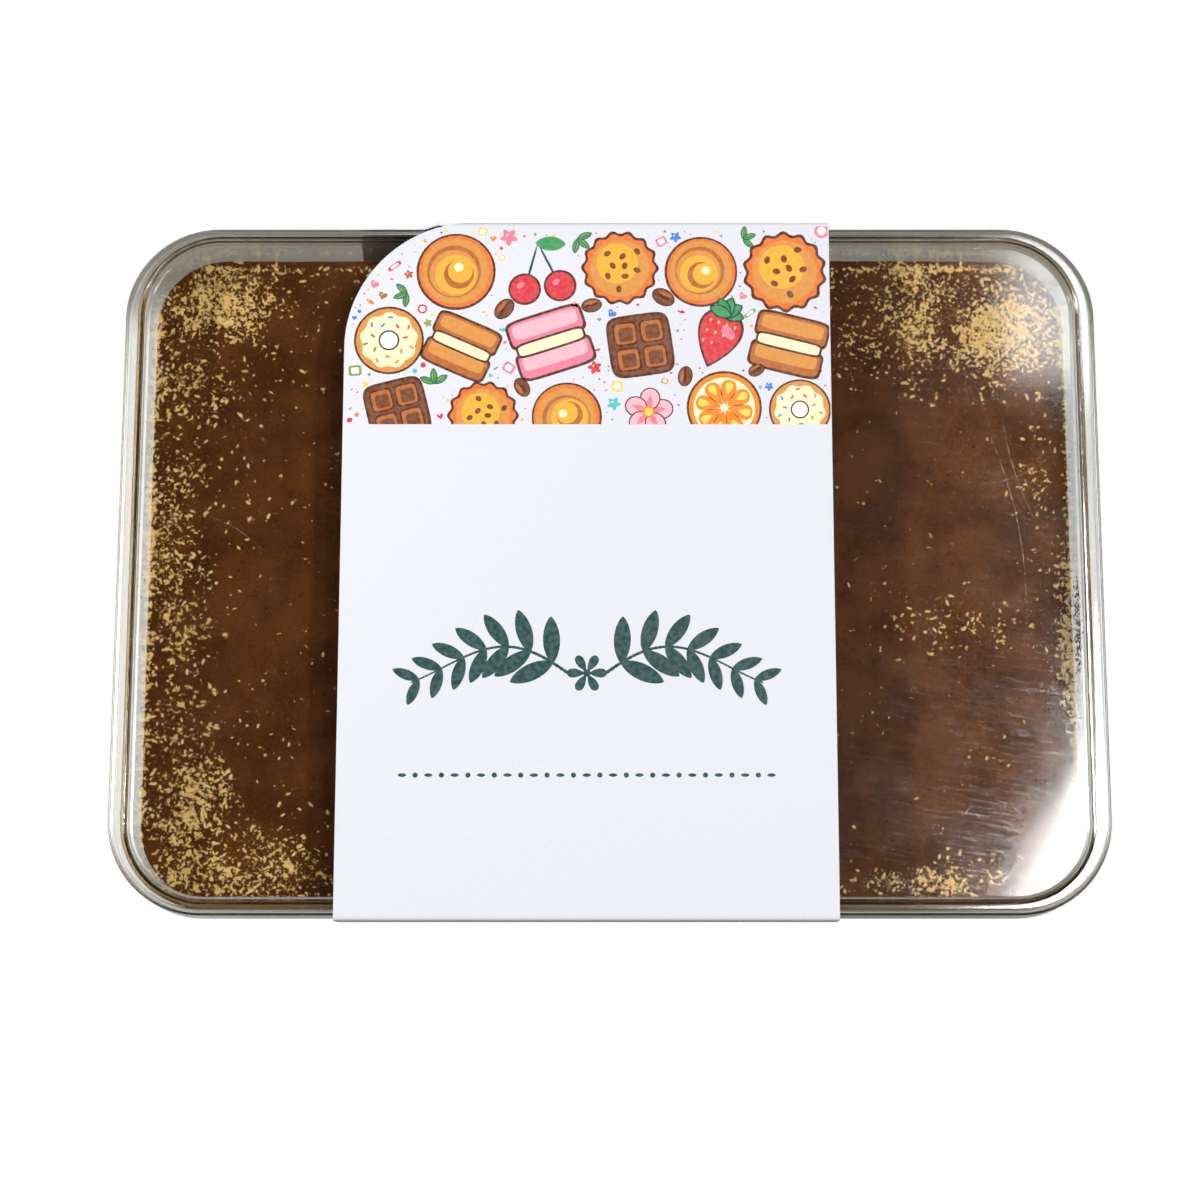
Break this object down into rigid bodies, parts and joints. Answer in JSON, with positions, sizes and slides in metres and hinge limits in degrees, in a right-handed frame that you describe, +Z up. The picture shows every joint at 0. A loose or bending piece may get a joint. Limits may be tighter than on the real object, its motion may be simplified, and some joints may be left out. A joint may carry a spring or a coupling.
{
  "type": "boxed tiramisu",
  "caption": "Family-size tiramisu dusted with cocoa, set in a rounded clear box with a lid, inside a white printed card sleeve.",
  "frame": {"origin": "centre of the footprint, on the surface the box stands on", "axes": "+X along the box's long side, +Y to the back of the box as the sleeve is read, +Z up"},
  "size_m": [0.24, 0.1716, 0.0518],
  "materials": {
    "clear_plastic": "clear glossy moulded plastic",
    "white_card": "smooth coated card, matt",
    "soaked_sponge": "moist open crumb",
    "cream": "smooth thick cream",
    "cocoa": "sifted powder"
  },
  "bodies": {
    "root": {"tray": "clear_plastic", "lid": "clear_plastic", "sleeve": "white_card", "sponge_lower": "soaked_sponge", "cream_lower": "cream", "sponge_upper": "soaked_sponge", "cream_upper": "cream", "cocoa_dusting": "cocoa"}
  },
  "joints": []
}
